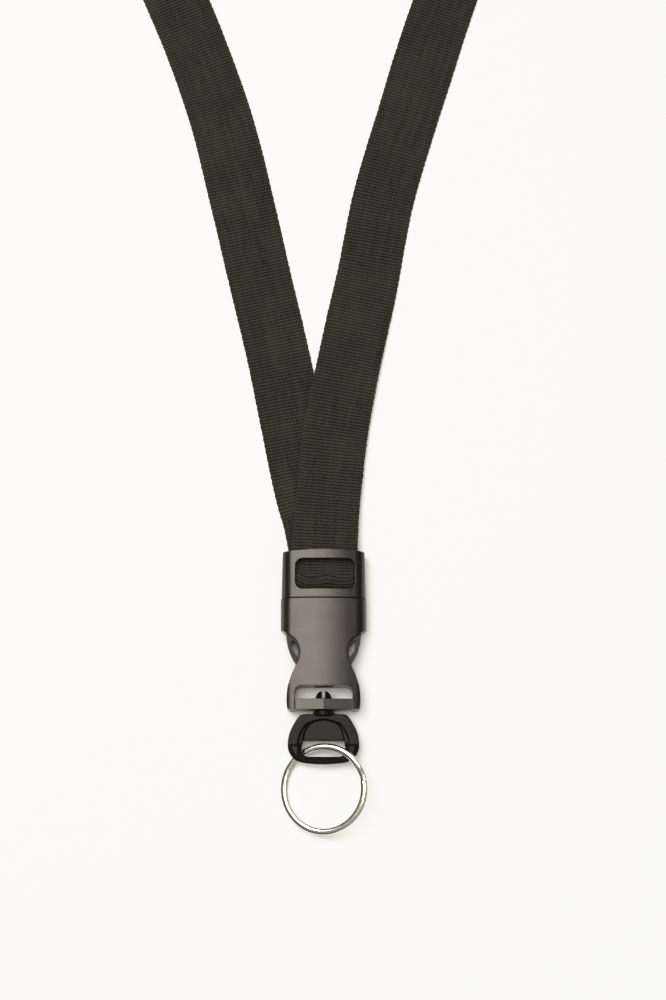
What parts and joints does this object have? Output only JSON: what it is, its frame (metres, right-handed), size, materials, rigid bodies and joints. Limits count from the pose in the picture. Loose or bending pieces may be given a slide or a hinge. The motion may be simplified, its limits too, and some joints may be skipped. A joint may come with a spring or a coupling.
{
  "type": "lanyard with buckle and key ring",
  "caption": "Webbing neck lanyard with a side-release buckle, a swivelling loop and a split key ring, lying with its neck loop open.",
  "frame": {"origin": "middle of the male buckle half's flat back, on the surface the lanyard lies on", "axes": "+Y runs up the strap towards the neck, +Z is out of the buckle's front, +X is to the right seen from the front"},
  "size_m": [0.1593, 0.4793, 0.0203],
  "materials": {
    "webbing": "ribbed polyester webbing, matt",
    "thread": "twisted sewing thread",
    "buckle_plastic": "fine satin moulded acetal",
    "loop_plastic": "semi-gloss moulded acetal",
    "nickel": "nickel-plated spring steel, bright"
  },
  "bodies": {
    "strap_side": {"strap": "webbing", "lap_stitching": "thread", "male_half": "buckle_plastic"},
    "left_latch": {"left_arm": "buckle_plastic"},
    "right_latch": {"right_arm": "buckle_plastic"},
    "female_side": {"female_half": "buckle_plastic"},
    "swivel": {"swivel_loop": "loop_plastic"},
    "ring": {"split_ring": "nickel"}
  },
  "joints": [
    {"name": "release", "type": "slide", "parent": "strap_side", "child": "female_side", "axis": [0, -1, 0], "range_m": [0, 0.03], "deforming": ["left_arm", "right_arm"]},
    {"name": "squeeze_left", "type": "hinge", "parent": "strap_side", "child": "left_latch", "pos_m": [-0.009, -0.00835, 0.00505], "axis": [0, 0, 1], "range_deg": [0, 8], "stiffness_Nm_per_rad": 0.2},
    {"name": "squeeze_right", "type": "hinge", "parent": "strap_side", "child": "right_latch", "pos_m": [0.009, -0.00835, 0.00505], "axis": [0, 0, -1], "range_deg": [0, 8], "stiffness_Nm_per_rad": 0.2},
    {"name": "swivel_turn", "type": "hinge", "parent": "female_side", "child": "swivel", "pos_m": [0, -0.0395, 0.00505], "axis": [0, 1, 0], "continuous": true},
    {"name": "ring_turn", "type": "hinge", "parent": "swivel", "child": "ring", "pos_m": [0, -0.0545, 0.00505], "axis": [0, -1, 0], "range_deg": [0, 140]}
  ]
}
